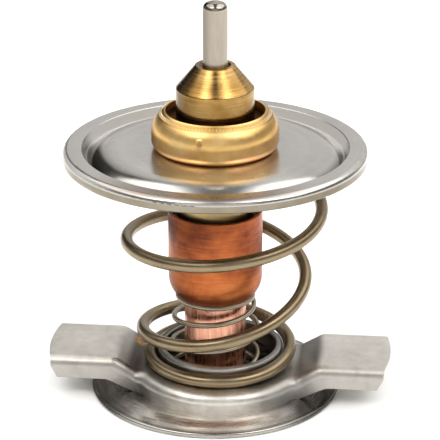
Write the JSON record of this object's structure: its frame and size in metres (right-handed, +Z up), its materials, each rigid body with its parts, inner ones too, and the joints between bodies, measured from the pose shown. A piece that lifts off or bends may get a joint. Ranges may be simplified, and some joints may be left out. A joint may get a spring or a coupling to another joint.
{
  "type": "engine thermostat",
  "caption": "Wax engine thermostat: brass head on a pressed valve plate, tapering main spring, copper cup, channel strap with two arms and a small bypass disc.",
  "frame": {"origin": "midway between the strap's two ends, level with the lower edge of the bypass disc", "axes": "+Z up along the piston, X along the strap's arms; the wax element's axis stands at X = -1.1 mm"},
  "size_m": [0.0784, 0.068, 0.0914],
  "materials": {
    "pin_steel": "satin ground steel",
    "guide_brass": "bright turned brass",
    "washer_ptfe": "white washer",
    "plug_rubber": "moulded rubber",
    "head_brass": "satin brass with warm tarnish",
    "wax": "copper-filled wax",
    "cup_copper": "tarnished copper",
    "plate_steel": "satin polished stainless",
    "spring_steel": "drawn wire with an olive-bronze tint",
    "strap_steel": "satin stainless with fine scratches",
    "disc_steel": "satin polished stainless",
    "bypass_wire": "drawn wire",
    "ring_steel": "dark spring steel"
  },
  "bodies": {
    "element": {"piston_guide": "guide_brass", "rubber_plug": "plug_rubber", "diaphragm": "plug_rubber", "element_head": "head_brass", "wax_charge": "wax", "copper_cup": "cup_copper", "valve_plate": "plate_steel", "main_spring": "spring_steel", "bypass_spring": "bypass_wire", "retaining_ring": "ring_steel"},
    "piston": {"piston_pin": "pin_steel", "plug_washer": "washer_ptfe"},
    "strap": {"frame_strap": "strap_steel"},
    "bypass": {"bypass_disc": "disc_steel"}
  },
  "joints": [
    {"name": "strap_slide", "type": "slide", "parent": "element", "child": "strap", "axis": [0, 0, 1], "range_m": [0, 0.009], "stiffness_N_per_m": 4200, "springref_m": -0.012, "deforming": ["main_spring"]},
    {"name": "bypass_slide", "type": "slide", "parent": "element", "child": "bypass", "axis": [0, 0, 1], "range_m": [0, 0.003], "stiffness_N_per_m": 1000, "springref_m": -0.008, "deforming": ["bypass_spring"]},
    {"name": "piston_slide", "type": "slide", "parent": "element", "child": "piston", "axis": [0, 0, 1], "range_m": [0, 0.009], "deforming": ["rubber_plug"]}
  ],
  "couplings": [
    {"joint": "bypass_slide", "follows": "strap_slide", "ratio": 0.3333}
  ]
}
